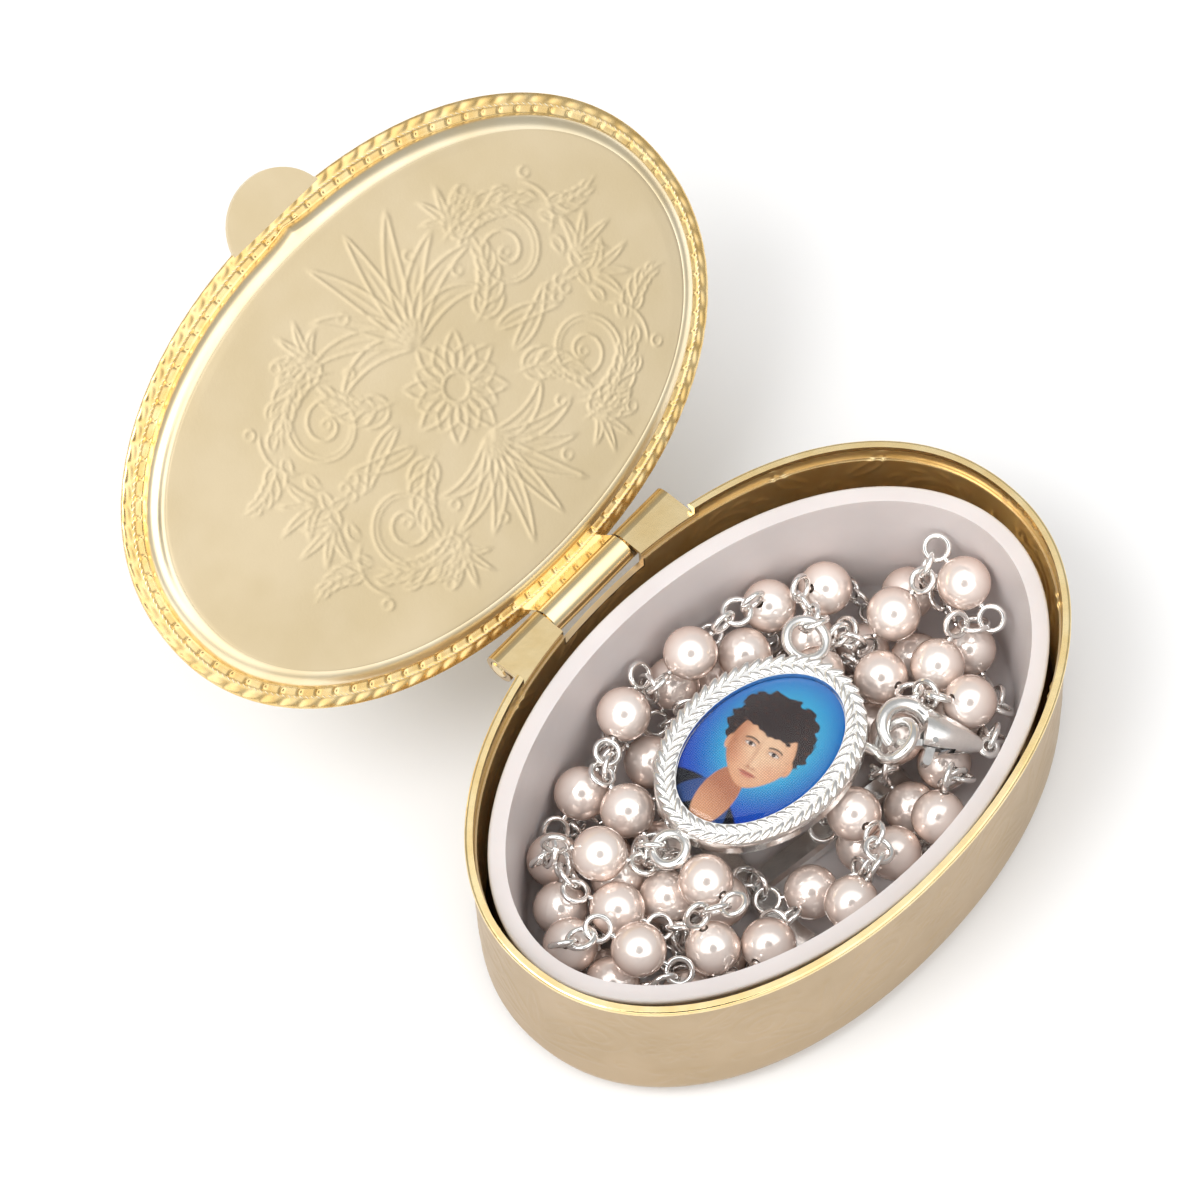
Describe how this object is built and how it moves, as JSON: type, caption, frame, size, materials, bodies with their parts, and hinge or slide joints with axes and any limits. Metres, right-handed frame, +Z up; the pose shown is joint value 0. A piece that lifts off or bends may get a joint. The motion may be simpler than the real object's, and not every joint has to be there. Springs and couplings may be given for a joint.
{
  "type": "rosary box",
  "caption": "Oval hinged metal keepsake box with a rope-edged lid and a tray that holds a pearl rosary",
  "frame": {"origin": "centre of the underside of the tub's bounding box with the lid left out", "axes": "X along the hinge, the tub's long axis, +Y towards the hinge, +Z up"},
  "size_m": [0.0518, 0.0658, 0.0364],
  "materials": {
    "gilt_metal": "pale gold plating, bright on the lip",
    "white_plastic": "satin moulded plastic",
    "pearl": "imitation pearl lacquer",
    "silver_wire": "bright silver-plated wire",
    "silver_cast": "silver-plated casting",
    "steel": "plain steel",
    "print": "printed card",
    "clear_dome": "clear domed resin"
  },
  "bodies": {
    "tub": {"base_shell": "gilt_metal", "hinge_pin": "gilt_metal"},
    "lid": {"lid_shell": "gilt_metal"},
    "tray": {"liner_tray": "white_plastic"},
    "rosary": {"pearl_beads": "pearl", "eye_pins": "silver_wire", "link_rings": "silver_wire", "medal_bezel": "silver_cast", "medal_print": "print", "medal_dome": "clear_dome", "clasp_body": "silver_cast", "clasp_rivet": "steel", "clasp_spring": "steel", "crucifix": "silver_cast"},
    "lever": {"clasp_lever": "silver_cast"}
  },
  "joints": [
    {"name": "lid_hinge", "type": "hinge", "parent": "tub", "child": "lid", "pos_m": [0, 0.01782, 0.014], "axis": [1, 0, 0], "range_deg": [0, 141]},
    {"name": "tray_lift", "type": "slide", "parent": "tub", "child": "tray", "axis": [0, 0, 1], "range_m": [0, 0.05]},
    {"name": "rosary_lift", "type": "slide", "parent": "tray", "child": "rosary", "axis": [0, 0, 1], "range_m": [0, 0.05]},
    {"name": "clasp_lever_pivot", "type": "hinge", "parent": "rosary", "child": "lever", "pos_m": [0.00851, -0.0078, 0.00955], "axis": [0.2172, -0.2851, 0.9336], "range_deg": [-18, 0], "stiffness_Nm_per_rad": 0.00002, "springref_deg": 5.73}
  ]
}
